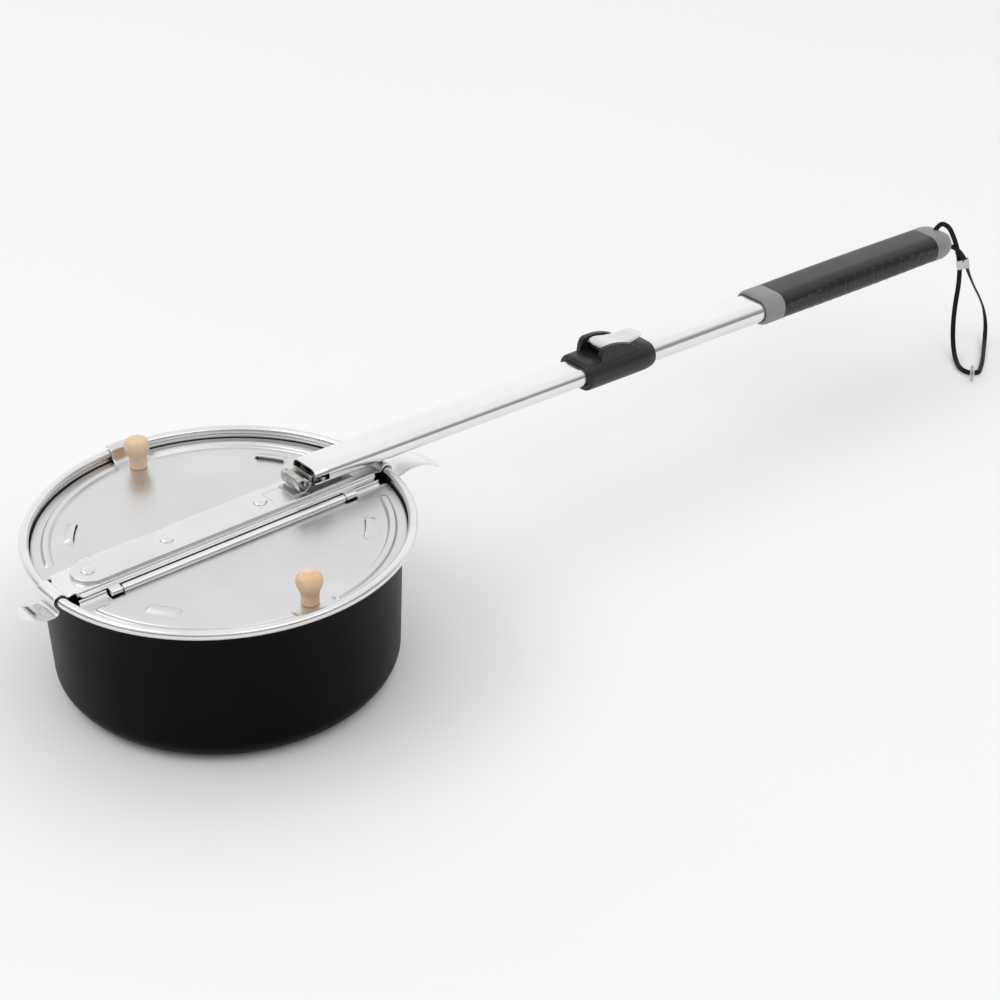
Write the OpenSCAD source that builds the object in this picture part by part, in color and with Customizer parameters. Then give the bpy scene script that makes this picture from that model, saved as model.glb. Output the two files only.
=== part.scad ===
// Long-handled open-fire popcorn maker: black pan, hinged two-flap lid, telescoping handle.
// Origin: centre of the pan's flat base. +X runs along the handle, +Z is up.

/* [Pan] */
// Outer radius of the rolled rim
rim_r = 120; // [116:1:124]
// Height of the rim roll's centre above the floor
rim_z = 99.5; // [90:0.5:110]
// Outer radius of the wall at the top
wall_r_top = 110.5; // [109.5:0.5:111]
// Outer radius of the wall at the bottom
wall_r_bot = 107.5; // [104:0.5:109]
// Sheet thickness of the pan
pan_t = 1.2; // [1:0.1:1.4]
// Corner radius between wall and base
base_corner = 16; // [12:1:22]

/* [Lid] */
// Radius of the lid flaps
flap_r = 113.4; // [112:0.1:113.5]
// Sheet thickness of the lid
lid_t = 0.8; // [0.7:0.05:0.9]
// Half width of the crossbar
bar_half = 13.2; // [13:0.1:13.3]
// Distance of each hinge axis from the middle
hinge_y = 19; // [19:0.1:19.4]
// Reach of the thumb tab at the handle side
tab_long = 163; // [158:1:168]
// Reach of the thumb tab at the far side
tab_short = 138; // [136:1:144]
// Distance of the knobs from the middle
knob_y = 98; // [90:1:98]

/* [Handle] */
// Downward tilt of the handle in degrees
tilt = 1.45; // [1.2:0.05:1.6]
// Start of the handle tube, measured from the pan's centre
mouth_x = 63; // [61:0.5:64]
// Length of the inner tube
inner_len = 380; // [340:5:400]
// Start of the outer tube along the handle
outer_s = 236; // [234:1:238]
// End of the grip's rubber sleeve along the handle
grip_end = 571; // [561:5:586]

/* [Hidden] */
$fn = 96;
eps = 0.01;
flap_z = rim_z - 5.1;
hinge_z = rim_z - 2.6;
bar_top = rim_z + 2;
plate_h = 2.7;
knob_x = 2.5;
tab_y0 = -12.4;
tab_y1 = 6.8;
rivet_x = [-91, -37, 29.5];
mouth_z = rim_z + 13.2;
roll_x = rim_r - 3;
knuckle_a = -80;
knuckle_b = 78.5;
cap_end = grip_end + 22.5;
collar_end = 406.5;

// Route of the wrist strap, from the cap's top hole round the loop to its end hole
strap_d = 4;
strap_route = [[645, 0, 104], [648, -1, 109.5], [653, -2, 111.5], [659, -4, 107], [665, -5, 97],
               [669, -6, 87], [671.5, -7, 78], [673, -7.5, 69], [673, -8, 55], [672, -8, 40],
               [671.5, -8.5, 26], [670, -11, 13], [665.5, -17, 5], [658, -26, 2.6], [651, -36, 2.6],
               [650, -44.5, 2.6], [656, -49.5, 2.6], [665, -45, 2.6], [678, -36, 2.6], [691, -26, 2.6],
               [702, -17.5, 4], [708.5, -11.5, 12], [707, -9.5, 24], [700, -9.5, 37], [690, -10, 51],
               [681.5, -10.5, 64], [676, -10.5, 74], [672, -9.5, 82], [666, -7, 89], [660, -4, 92],
               [653, -1.5, 92.5]];

function arc(cx, cy, r, a0, a1, n) =
    [for (i = [0:n]) [cx + r * cos(a0 + (a1 - a0) * i / n), cy + r * sin(a0 + (a1 - a0) * i / n)]];

// ---- helpers for swept tubes ----
function unit(v) = v / norm(v);
function cr(a, b, c, d, t) = 0.5 * ((2 * b) + (c - a) * t + (2 * a - 5 * b + 4 * c - d) * t * t
    + (3 * b - a - 3 * c + d) * t * t * t);
function smooth_route(p, m) = concat([for (i = [0:len(p) - 2], j = [0:m - 1])
    cr(p[max(i - 1, 0)], p[i], p[i + 1], p[min(i + 2, len(p) - 1)], j / m)], [p[len(p) - 1]]);
function tangent(p, i) = unit(p[min(i + 1, len(p) - 1)] - p[max(i - 1, 0)]);
function side_v(t, ref) = unit(cross(t, ref));

module sweep_tube(p, r, ref, n) {
    m = len(p);
    pts = [for (i = [0:m - 1], k = [0:n - 1])
        let (t = tangent(p, i), u = side_v(t, ref), v = cross(t, u), a = 360 * k / n)
        p[i] + r * cos(a) * u + r * sin(a) * v];
    sides = [for (i = [0:m - 2], k = [0:n - 1])
        [i * n + k, i * n + (k + 1) % n, (i + 1) * n + (k + 1) % n, (i + 1) * n + k]];
    ends = [[for (k = [n - 1:-1:0]) k], [for (k = [0:n - 1]) (m - 1) * n + k]];
    polyhedron(pts, concat(sides, ends), convexity = 8);
}

// ---- handle frame: s along the handle, y across, h up ----
module in_handle() {
    translate([mouth_x, 0, mouth_z])
        rotate([0, tilt, 0])
            children();
}

// Rounded rectangle with half sizes w and h and corner radius r
module round_rect(w, h, r) {
    square([2 * w, 2 * (h - r)], center = true);
    square([2 * (w - r), 2 * h], center = true);
    for (sx = [-1, 1], sy = [-1, 1])
        translate([sx * (w - r), sy * (h - r)])
            circle(r);
}

// Prism along the handle with a rounded rectangular section
module bar_s(s0, s1, w, h, r) {
    translate([s0, 0, 0])
        rotate([90, 0, 90])
            linear_extrude(s1 - s0)
                round_rect(w, h, r);
}

// Profile in the s-h plane, extruded across y
module side_plate(pts, y0, y1) {
    translate([0, y1, 0])
        rotate([90, 0, 0])
            linear_extrude(y1 - y0)
                polygon(pts);
}

// Ribbon of constant thickness along a path in the s-h plane
function rib_n(p, i) = let (t = unit(p[min(i + 1, len(p) - 1)] - p[max(i - 1, 0)])) [-t[1], t[0]];
function rib_k(p, i) = (i == 0 || i == len(p) - 1) ? 1 :
    1 / max(0.6, unit(p[i + 1] - p[i]) * unit(p[i + 1] - p[i - 1]));
function ribbon(p, t) = concat(
    [for (i = [0:len(p) - 1]) p[i] + rib_n(p, i) * rib_k(p, i) * t / 2],
    [for (i = [len(p) - 1:-1:0]) p[i] - rib_n(p, i) * rib_k(p, i) * t / 2]);

// ---- pan ----
module pan() {
    led = rim_z - 6.5;
    lr = roll_x - 1.3;
    outer_p = concat([[0, 0]], arc(wall_r_bot - base_corner, base_corner, base_corner, -90, -2, 8),
        [[wall_r_top, led - 1.2], [wall_r_top + 1.4, led], [lr - 0.6, led], [lr, led + 0.8], [lr, rim_z + 1]]);
    inner_p = concat([[lr - 0.8, rim_z + 1], [lr - 0.8, led + 1.2], [wall_r_top - 0.6, led + 1.2],
        [wall_r_top - pan_t, led]],
        arc(wall_r_bot - base_corner, base_corner, base_corner - pan_t, -2, -90, 8), [[0, pan_t]]);
    color("#1c1c1e")
        rotate_extrude($fn = 160)
            polygon(concat(outer_p, inner_p));
}

module rim_ring() {
    color("#d4d4d6")
        rotate_extrude($fn = 160)
            translate([roll_x, rim_z])
                difference() {
                    circle(3, $fn = 48);
                    circle(2.2, $fn = 48);
                    translate([-2.1, -4])
                        square([0.8, 4.5]);
                }
}

// ---- crossbar of the lid ----
module mirror_x(sgn) {
    mirror([sgn > 0 ? 0 : 1, 0, 0])
        children();
}

// Clip over the rim that runs out into a thumb tab, with a rounded tip
module tab_side(sgn, reach) {
    clip = [[104, 1.6], [108.8, 1.6], [110.6, 1.0], [112.0, 1.7], [113.2, 3.2], [115.0, 4.1], [117.2, 4.3],
            [119.6, 3.3], [120.9, 1.0], [121.1, -4.5]];
    far = [[122.1, -7.6], [125.6, -8.7], [129.5, -7.9], [133.5, -7.0], [reach, -6.6]];
    near = [[122.1, -7.2], [126, -7.9], [130, -7.2], [134, -6.1], [138.5, -5.8], [143, -6.1], [147, -6.7],
            [151.5, -8.2], [157, -11.4], [reach, -15]];
    mid = (tab_y0 + tab_y1) / 2;
    mirror_x(sgn)
        intersection() {
            translate([0, 0, rim_z])
                side_plate(ribbon(concat(clip, sgn > 0 ? near : far), lid_t), tab_y0, tab_y1);
            translate([0, 0, rim_z - 20])
                linear_extrude(40)
                    union() {
                        translate([95, tab_y0])
                            square([reach - 95 - 8, tab_y1 - tab_y0]);
                        translate([95, mid - 1.7])
                            square([reach - 95, 3.4]);
                        for (k = [-1, 1])
                            translate([reach - 8, mid + 1.6 * k])
                                circle(8);
                    }
        }
}

// Ear that wraps the end of a hinge rod
module ear(x, w) {
    translate([x, -hinge_y, hinge_z - 0.4])
        cube([w, hinge_y - bar_half + lid_t, 2.9]);
    translate([x, -hinge_y, hinge_z])
        rotate([0, 90, 0])
            cylinder(h = w, r = 2.5);
}

module crossbar() {
    color("#dcdcde") {
        difference() {
            union() {
                difference() {
                    union() {
                        translate([-106, -bar_half, bar_top - 2.8])
                            cube([212, 2 * bar_half, 2.8]);
                        translate([-106, -bar_half - 3, bar_top - 2.8])
                            cube([212, 2 * bar_half + 6, lid_t]);
                    }
                    translate([-107, -bar_half + lid_t, bar_top - 4])
                        cube([214, 2 * (bar_half - lid_t), 4 - lid_t]);
                    for (sx = [-1, 1], sy = [-1, 1])
                        translate([sx * 107, sy * (bar_half + 3), bar_top - 4])
                            rotate([0, 0, 45])
                                cube([8, 8, 12], center = true);
                }
                for (a = [0, 180])
                    rotate([0, 0, a]) {
                        ear(knuckle_a - 8, 7.2);
                        ear(knuckle_b + 0.8, 7.8);
                    }
                tab_side(1, tab_long);
                tab_side(-1, tab_short);
            }
            for (s = [-1, 1])
                translate([-100, s * hinge_y, hinge_z])
                    rotate([0, 90, 0])
                        cylinder(h = 200, r = 1.5);
            for (x = rivet_x)
                translate([x, 0, bar_top - 2])
                    cylinder(h = 4, r = 2);
        }
    }
}

// ---- lid flaps ----
module bead(a0, a1) {
    rotate([0, 0, a0])
        rotate_extrude(angle = a1 - a0, $fn = 160)
            translate([104.3, flap_z])
                polygon([[-2.8, 0.2], [-2.8, 0.9], [-1.2, 2.0], [1.2, 2.0], [2.8, 0.9], [2.8, 0.2]]);
}

module vent(a) {
    rotate([0, 0, a])
        translate([91.5, 0, flap_z + 0.2])
            difference() {
                linear_extrude(2.6)
                    round_rect(3.6, 11, 3.5);
                translate([-1.2, 0, -1])
                    linear_extrude(2.8)
                        round_rect(2.6, 9.4, 2.5);
            }
}

module vent_cut(a) {
    rotate([0, 0, a])
        translate([90.3, 0, flap_z - 1])
            linear_extrude(2.6)
                round_rect(2.6, 9.4, 2.5);
}

// One flap, modelled on the -Y side
module flap_shape(a1, a2, b1, b2) {
    difference() {
        union() {
            intersection() {
                translate([0, 0, flap_z])
                    cylinder(h = lid_t, r = flap_r, $fn = 160);
                translate([-120, -120, flap_z - 1])
                    cube([240, 120 - hinge_y, 4]);
            }
            translate([knuckle_a, -hinge_y, hinge_z])
                rotate([0, 90, 0])
                    cylinder(h = knuckle_b - knuckle_a, r = 2.5);
            bead(a1, a2);
            bead(b1, b2);
            vent(215.8);
            vent(-37.2);
        }
        vent_cut(215.8);
        vent_cut(-37.2);
        translate([knuckle_a - 1, -hinge_y, hinge_z])
            rotate([0, 90, 0])
                cylinder(h = knuckle_b - knuckle_a + 2, r = 1.55);
        for (x = [knuckle_a - 9, knuckle_b])
            translate([x, -hinge_y - 3.3, flap_z - 1])
                cube([9, 5, 3]);
        translate([-knob_x, -knob_y, flap_z - 1])
            cylinder(h = 4, r = 1.8);
    }
}

module flap_front() {
    color("#d8d8da")
        flap_shape(195.3, 260.3, 275.9, 342.6);
}

module flap_rear() {
    tongue = [[103, -4.7], [107.5, -4.7], [110.6, -3.6], [112.4, -0.8], [113.0, 2.0], [114.4, 3.8], [116.8, 4.3],
              [120.2, 4.0]];
    color("#d8d8da") {
        rotate([0, 0, 180])
            flap_shape(195.3, 260.3, 275.9, 342.6);
        translate([-8, 0, rim_z])
            rotate([90, 0, 90])
                linear_extrude(18)
                    polygon(ribbon(tongue, lid_t));
    }
}

module hinge_rod(a) {
    color("#b4b4b8")
        rotate([0, 0, a])
            translate([knuckle_a - 7.5, -hinge_y, hinge_z])
                rotate([0, 90, 0])
                    cylinder(h = knuckle_b - knuckle_a + 15.5, r = 1.5);
}

module hinge_rod_front() {
    hinge_rod(0);
}

module hinge_rod_rear() {
    hinge_rod(180);
}

// ---- knobs ----
module knob(s) {
    color("#e0bd94")
        translate([s * knob_x, s * knob_y, flap_z + lid_t])
            difference() {
                rotate_extrude($fn = 64)
                    polygon([[0, 0], [5.3, 0], [5.6, 0.5], [5.5, 4.6], [5.9, 7.8], [7.1, 10.5], [7.9, 12.8],
                        [8, 14.8], [7.6, 17], [6.5, 18.8], [4.8, 20], [2.4, 20.8], [0, 21]]);
                translate([0, 0, -1])
                    cylinder(h = 14, r = 1.7);
            }
}

module knob_front() {
    knob(-1);
}

module knob_rear() {
    knob(1);
}

module knob_screw(s) {
    color("#9a9aa0")
        translate([s * knob_x, s * knob_y, 0]) {
            difference() {
                translate([0, 0, flap_z - 2])
                    cylinder(h = 2, r = 3.8);
                translate([0, 0, flap_z - 2.2])
                    linear_extrude(1)
                        union() {
                            square([5, 0.9], center = true);
                            square([0.9, 5], center = true);
                        }
            }
            translate([0, 0, flap_z - 0.5])
                cylinder(h = 12, r = 1.7);
        }
}

module knob_screw_front() {
    knob_screw(-1);
}

module knob_screw_rear() {
    knob_screw(1);
}

// ---- riveted plate on the crossbar ----
module plate_outline(d) {
    translate([-88.6, 0])
        circle(12.6 - d);
    translate([-88.6, -12.6 + d])
        square([88.6 + 90 - d, 25.2 - 2 * d]);
}

module handle_plate() {
    color("#e2e2e4")
        difference() {
            translate([0, 0, bar_top])
                linear_extrude(plate_h)
                    plate_outline(0);
            translate([0, 0, bar_top - 0.5])
                linear_extrude(plate_h - 0.3)
                    difference() {
                        plate_outline(1);
                        for (x = rivet_x)
                            translate([x, 0])
                                circle(5);
                        translate([46, -9])
                            square([20, 18]);
                    }
            for (x = rivet_x)
                translate([x, 0, bar_top - 1])
                    cylinder(h = 5, r = 2);
            translate([35.5, 6.6, bar_top - 1])
                cube([17, 0.8, 5]);
            translate([35.5, -5, bar_top - 1])
                cube([0.8, 12.4, 5]);
        }
}

module plate_rivets() {
    color("#c8c8cc")
        for (x = rivet_x)
            translate([x, 0, 0]) {
                translate([0, 0, bar_top - 2])
                    cylinder(h = plate_h + 2.1, r = 2);
                translate([0, 0, bar_top + plate_h])
                    rotate_extrude($fn = 48)
                        polygon([[0, 0], [3.6, 0], [3.4, 0.5], [2.4, 1.1], [0, 1.4]]);
                translate([0, 0, bar_top - lid_t - 1])
                    cylinder(h = 1, r = 3.4);
            }
}

// Bent strip that carries the tube: foot on the plate, tongue inside the tube
module tube_tongue() {
    foot = [[-14, -8.45], [-5, -8.25], [-2.6, -5.8], [-1.2, -4.3], [90, -4.3]];
    color("#bfc0c4")
        difference() {
            union() {
                in_handle()
                    side_plate(ribbon(foot, 0.9), -8, 8);
                translate([mouth_x - 14, -8, bar_top + plate_h])
                    cube([8.5, 16, 0.7]);
            }
            translate([mouth_x - 20, -10, bar_top + plate_h - 2])
                cube([40, 20, 2]);
        }
}

// Folded sheet spring with a thumb box, a curved foot and a side lug
module spring_latch() {
    folds = [[-9.6, -6.2], [-10.3, -5.2], [-10.6, -3.4], [-10.6, 0.9], [-6.6, 0.9], [-6.6, -3.0],
             [-5.0, -3.0], [-5.0, -0.6], [-3.2, -0.6], [-3.2, -3.0], [-1.4, -3.0], [-1.4, 1.2],
             [1.0, 1.2], [1.0, -3.0], [3.8, -3.0], [3.8, 2.4], [9.5, 2.4]];
    color("#a9a9a4")
        in_handle() {
            side_plate(ribbon(folds, 0.6), -9.4, 9.4);
            translate([3.4, -14.2, -1.6])
                cube([2.6, 5, 2.6]);
            translate([3.4, -9.6, -3.2])
                cube([1, 1.2, 5.8]);
        }
}

// ---- handle tubes ----
module inner_tube() {
    color("#dfdfe1")
        in_handle()
            difference() {
                bar_s(0, inner_len, 12.7, 6.2, 5.7);
                bar_s(-1, inner_len + 1, 11.7, 5.2, 4.7);
                translate([-1, -14, -2.0])
                    cube([11, 4, 3.4]);
            }
}

module tube_end_plug() {
    color("#2a2a2c")
        in_handle() {
            bar_s(inner_len - 12, inner_len, 11.7, 5.2, 4.7);
            bar_s(inner_len, inner_len + 2.5, 12.7, 6.2, 5.7);
        }
}

module outer_tube() {
    color("#dfdfe1")
        in_handle()
            difference() {
                bar_s(outer_s, cap_end - 8.5, 13.9, 7.4, 6.9);
                bar_s(outer_s - 1, cap_end - 7.5, 13.0, 6.5, 6.0);
                translate([242.7, -5.3, 5])
                    cube([8.6, 10.6, 4]);
            }
}

// ---- telescope lock ----
module lock_shell() {
    bar_s(222, 276, 16.6, 10.2, 9.8);
    translate([276, 0, 0])
        rotate([90, 0, 90])
            linear_extrude(3.5)
                round_rect(15.9, 9.5, 9.1);
    translate([279.5, 0, 0])
        rotate([90, 0, 90])
            linear_extrude(2.5)
                round_rect(14.9, 8.5, 8.1);
}

module lock_body() {
    cheek = [[233.5, 0], [233.5, 8], [234, 15], [235.2, 17.6], [237.5, 18.6], [241, 18.7], [250, 17.2],
             [258, 14.6], [264, 11.4], [268, 8.5], [270, 4], [270, 0]];
    color("#1e1e20")
        in_handle()
            difference() {
                union() {
                    lock_shell();
                    side_plate(cheek, -12.2, 12.2);
                }
                bar_s(220, outer_s + 1, 13.0, 6.5, 6.0);
                bar_s(outer_s, 300, 13.9, 7.4, 6.9);
                translate([233, -8.4, 8.4])
                    cube([39, 16.8, 20]);
                translate([242.7, -5.3, 5])
                    cube([8.6, 10.6, 6]);
                translate([245, 15, 15])
                    rotate([90, 0, 0])
                        cylinder(h = 30, r = 1.5);
            }
}

module lock_lever() {
    prof = [[238.9, 13.6], [238.4, 15.8], [239.2, 17.4], [241.5, 18.4], [246, 18.1], [252, 16.8], [258, 15.6],
            [264, 15.2], [270, 15.9], [276, 15.7], [278, 14.5], [270, 13.4], [262, 12.4], [254, 12.2],
            [249.5, 10.9], [247.5, 9.2], [245, 8.6], [242.5, 9.3], [240.2, 11.3]];
    color("#c9cacd")
        in_handle()
            difference() {
                intersection() {
                    side_plate(prof, -8, 8);
                    linear_extrude(40)
                        union() {
                            translate([230, -8])
                                square([39, 16]);
                            translate([269, 0])
                                circle(8);
                        }
                }
                translate([245, 10, 15])
                    rotate([90, 0, 0])
                        cylinder(h = 20, r = 1.55);
                for (k = [-3:3])
                    translate([237.9, k * 2 - 0.45, 14])
                        cube([0.8, 0.9, 3.2]);
            }
}

module lever_pin() {
    color("#88888c")
        in_handle()
            translate([245, 12, 15])
                rotate([90, 0, 0])
                    cylinder(h = 24, r = 1.5);
}

module brake_shoe() {
    color("#3a3a3c")
        in_handle()
            translate([243, -5, 6.5])
                cube([8, 10, 1.9]);
}

// ---- grip ----
module grip_collar() {
    color("#8e8e92")
        in_handle()
            difference() {
                union() {
                    bar_s(390, collar_end, 16.5, 10.4, 9.9);
                    bar_s(388.6, 390, 15.9, 9.8, 9.3);
                }
                bar_s(380, 420, 13.9, 7.4, 6.9);
            }
}

module grip_sleeve() {
    color("#1a1a1c")
        in_handle()
            difference() {
                bar_s(collar_end, grip_end, 16.5, 10.4, 9.9);
                bar_s(collar_end - 1, grip_end + 1, 13.9, 7.4, 6.9);
                for (i = [0:14], s = [-1, 1])
                    translate([418 + i * (grip_end - 430) / 14, s * 17.6, 0])
                        rotate([0, 0, 45])
                            cube([2, 2, 13], center = true);
            }
}

module end_cap() {
    color("#8e8e92")
        in_handle()
            difference() {
                union() {
                    bar_s(grip_end, grip_end + 10, 16.5, 10.4, 9.9);
                    bar_s(grip_end + 10, grip_end + 14.5, 15.6, 9.6, 9.1);
                    bar_s(grip_end + 14.5, grip_end + 18, 14.2, 8.3, 7.8);
                    bar_s(grip_end + 18, grip_end + 20.5, 12.2, 6.6, 6.1);
                    bar_s(grip_end + 20.5, cap_end, 9.4, 4.4, 3.9);
                }
                bar_s(grip_end - 1, cap_end - 8.5, 13.9, 7.4, 6.9);
                translate([grip_end + 12, 0, 4])
                    rotate([0, -38, 0])
                        cylinder(h = 12, r = 2.6);
                translate([grip_end + 13, -1, -5])
                    rotate([0, 90, 0])
                        cylinder(h = 22, r = 2.6);
            }
}

// ---- wrist strap ----
module strap() {
    color("#161618")
        sweep_tube(smooth_route(strap_route, 2), strap_d / 2, [0.54, 0.66, -0.52], 8);
}

module strap_crimp() {
    color("#d8d8da")
        translate([674, -9, 74.5])
            rotate([0, -12, -39])
                difference() {
                    cube([10.4, 6, 8], center = true);
                    cube([9.2, 4.8, 9], center = true);
                }
}

module strap_ring() {
    color("#c8c8cc")
        translate([646, -52, 6.5])
            rotate([0, 0, 51])
                rotate([90, 0, 0])
                    rotate_extrude($fn = 48)
                        translate([5.2, 0])
                            circle(0.8, $fn = 16);
}

pan();
rim_ring();
crossbar();
flap_front();
flap_rear();
hinge_rod_front();
hinge_rod_rear();
knob_front();
knob_rear();
knob_screw_front();
knob_screw_rear();
handle_plate();
plate_rivets();
tube_tongue();
spring_latch();
inner_tube();
tube_end_plug();
outer_tube();
lock_body();
lock_lever();
lever_pin();
brake_shoe();
grip_collar();
grip_sleeve();
end_cap();
strap();
strap_crimp();
strap_ring();
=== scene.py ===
import math
import bmesh
import bpy
from mathutils import Matrix, Vector


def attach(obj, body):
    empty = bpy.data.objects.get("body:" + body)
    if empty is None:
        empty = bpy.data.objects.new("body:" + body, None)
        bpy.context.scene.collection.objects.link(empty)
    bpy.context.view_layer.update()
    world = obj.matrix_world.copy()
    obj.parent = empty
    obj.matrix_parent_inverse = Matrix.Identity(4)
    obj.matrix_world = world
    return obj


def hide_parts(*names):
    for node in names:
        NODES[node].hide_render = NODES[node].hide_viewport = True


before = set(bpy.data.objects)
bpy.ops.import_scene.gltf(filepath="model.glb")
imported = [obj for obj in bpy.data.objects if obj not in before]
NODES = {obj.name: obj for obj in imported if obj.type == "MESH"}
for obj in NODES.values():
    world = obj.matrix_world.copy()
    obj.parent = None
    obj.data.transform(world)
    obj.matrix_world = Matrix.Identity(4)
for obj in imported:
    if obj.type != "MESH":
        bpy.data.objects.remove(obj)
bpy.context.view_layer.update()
MM = 0.001
SHEET = 0.8  # thickness of the lid sheet, mm

# ------------------------------------------------------------------ camera, floor and light
CAM_AT = (-0.590827, -0.988044, 0.810578)
CAM_RIGHT = (0.773284, -0.634059, -0.000259)
CAM_UP = (0.329999, 0.40211, 0.854054)
CAM_LENS = 79.892

cam_data = bpy.data.cameras.new("camera")
cam = bpy.data.objects.new("camera", cam_data)
bpy.context.scene.collection.objects.link(cam)
right, up = Vector(CAM_RIGHT), Vector(CAM_UP)
back = right.cross(up)
turn = Matrix((right, up, back)).transposed().to_4x4()
turn.translation = Vector(CAM_AT)
cam.matrix_world = turn
cam_data.lens = CAM_LENS
cam_data.sensor_width = 36.0
cam_data.sensor_fit = "HORIZONTAL"
cam_data.clip_end = 50
cam_data.dof.use_dof = False
bpy.context.scene.camera = cam
bpy.context.scene.view_settings.view_transform = "Standard"


def area(name, at, look, size, power):
    data = bpy.data.lights.new(name, "AREA")
    data.shape = "RECTANGLE"
    data.size, data.size_y = size
    data.energy = power
    o = bpy.data.objects.new(name, data)
    bpy.context.scene.collection.objects.link(o)
    o.location = at
    o.visible_camera = False
    o.rotation_euler = (Vector(look) - Vector(at)).to_track_quat("-Z", "Y").to_euler()
    return o


area("key", (-1.3, 0.7, 1.9), (0.15, 0, 0.05), (1.6, 1.2), 9)
area("fill", (0.2, -1.6, 1.7), (0.2, 0, 0.05), (2.2, 1.0), 4)

world = bpy.data.worlds.new("studio")
bpy.context.scene.world = world
world.use_nodes = True
wt = world.node_tree
wt.nodes.clear()
w_out = wt.nodes.new("ShaderNodeOutputWorld")
w_bg = wt.nodes.new("ShaderNodeBackground")
w_co = wt.nodes.new("ShaderNodeTexCoord")
w_sep = wt.nodes.new("ShaderNodeSeparateXYZ")
wt.links.new(w_co.outputs["Generated"], w_sep.inputs[0])


def w_range(val, lo, hi, a, b):
    n = wt.nodes.new("ShaderNodeMapRange")
    n.interpolation_type = "SMOOTHSTEP"
    for key, v in (("From Min", lo), ("From Max", hi), ("To Min", a), ("To Max", b)):
        n.inputs[key].default_value = v
    wt.links.new(val, n.inputs["Value"])
    return n.outputs[0]


# A big soft box behind and above the object, and a dim band low in front of it
w_dot = wt.nodes.new("ShaderNodeVectorMath")
w_dot.operation = "DOT_PRODUCT"
w_dot.inputs[1].default_value = (0.64, 0.77, 0.0)
wt.links.new(w_co.outputs["Generated"], w_dot.inputs[0])
low = w_range(w_dot.outputs["Value"], 0.15, 0.70, 0.28, 1.02)
high = w_range(w_sep.outputs["Z"], 0.30, 0.72, 0.0, 1.0)
w_mix = wt.nodes.new("ShaderNodeMix")
wt.links.new(high, w_mix.inputs[0])
wt.links.new(low, w_mix.inputs[2])
w_mix.inputs[3].default_value = 0.92
wt.links.new(w_mix.outputs[0], w_bg.inputs[0])
wt.links.new(w_bg.outputs[0], w_out.inputs[0])
w_bg.inputs[1].default_value = 1.07


# ------------------------------------------------------------------ materials
def new_mat(name):
    m = bpy.data.materials.new(name)
    m.use_nodes = True
    nt = m.node_tree
    bsdf = nt.nodes["Principled BSDF"]
    return m, nt, bsdf


def node(nt, kind, **props):
    n = nt.nodes.new(kind)
    for k, v in props.items():
        setattr(n, k, v)
    return n


def coords(nt, scale=(1, 1, 1), rot=(0, 0, 0)):
    tc = node(nt, "ShaderNodeTexCoord")
    mp = node(nt, "ShaderNodeMapping")
    mp.inputs["Scale"].default_value = scale
    mp.inputs["Rotation"].default_value = rot
    nt.links.new(tc.outputs["Object"], mp.inputs[0])
    return mp.outputs[0]


def noise_tex(nt, vec, scale, detail=3, rough=0.55, distort=0.0):
    n = node(nt, "ShaderNodeTexNoise")
    n.inputs["Scale"].default_value = scale
    n.inputs["Detail"].default_value = detail
    n.inputs["Roughness"].default_value = rough
    n.inputs["Distortion"].default_value = distort
    nt.links.new(vec, n.inputs["Vector"])
    return n.outputs["Fac"]


def remap(nt, val, a, b, lo=0.3, hi=0.7):
    n = node(nt, "ShaderNodeMapRange")
    n.inputs["From Min"].default_value = lo
    n.inputs["From Max"].default_value = hi
    n.inputs["To Min"].default_value = a
    n.inputs["To Max"].default_value = b
    nt.links.new(val, n.inputs["Value"])
    return n.outputs[0]


def two_tone(nt, fac, c1, c2):
    n = node(nt, "ShaderNodeMix", data_type="RGBA")
    n.inputs[6].default_value = (*c1, 1)
    n.inputs[7].default_value = (*c2, 1)
    nt.links.new(fac, n.inputs[0])
    return n.outputs[2]


def add_bump(nt, bsdf, height, strength, distance):
    b = node(nt, "ShaderNodeBump")
    b.inputs["Strength"].default_value = strength
    b.inputs["Distance"].default_value = distance
    nt.links.new(height, b.inputs["Height"])
    nt.links.new(b.outputs[0], bsdf.inputs["Normal"])


def metal(name, c1, c2, rough, blotch=14, grain=(1, 1, 1), grain_scale=900, bump=0.05):
    m, nt, s = new_mat(name)
    s.inputs["Metallic"].default_value = 1.0
    v = coords(nt)
    big = noise_tex(nt, v, blotch, 4, 0.6)
    nt.links.new(two_tone(nt, remap(nt, big, 0, 1), c1, c2), s.inputs["Base Color"])
    g = noise_tex(nt, coords(nt, grain), grain_scale, 2, 0.5)
    mix = node(nt, "ShaderNodeMath", operation="ADD")
    nt.links.new(remap(nt, big, rough[0], rough[1]), mix.inputs[0])
    nt.links.new(remap(nt, g, -0.015, 0.02), mix.inputs[1])
    nt.links.new(mix.outputs[0], s.inputs["Roughness"])
    add_bump(nt, s, g, bump, 0.0002)
    return m


def plastic(name, c1, c2, rough, grain_scale=1400, bump=0.12, blotch=40, spec=0.5):
    m, nt, s = new_mat(name)
    v = coords(nt)
    big = noise_tex(nt, v, blotch, 3, 0.6)
    nt.links.new(two_tone(nt, remap(nt, big, 0, 1), c1, c2), s.inputs["Base Color"])
    fine = noise_tex(nt, v, grain_scale, 2, 0.6)
    nt.links.new(remap(nt, big, rough[0], rough[1]), s.inputs["Roughness"])
    s.inputs["Specular IOR Level"].default_value = spec
    add_bump(nt, s, fine, bump, 0.0003)
    return m


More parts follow.
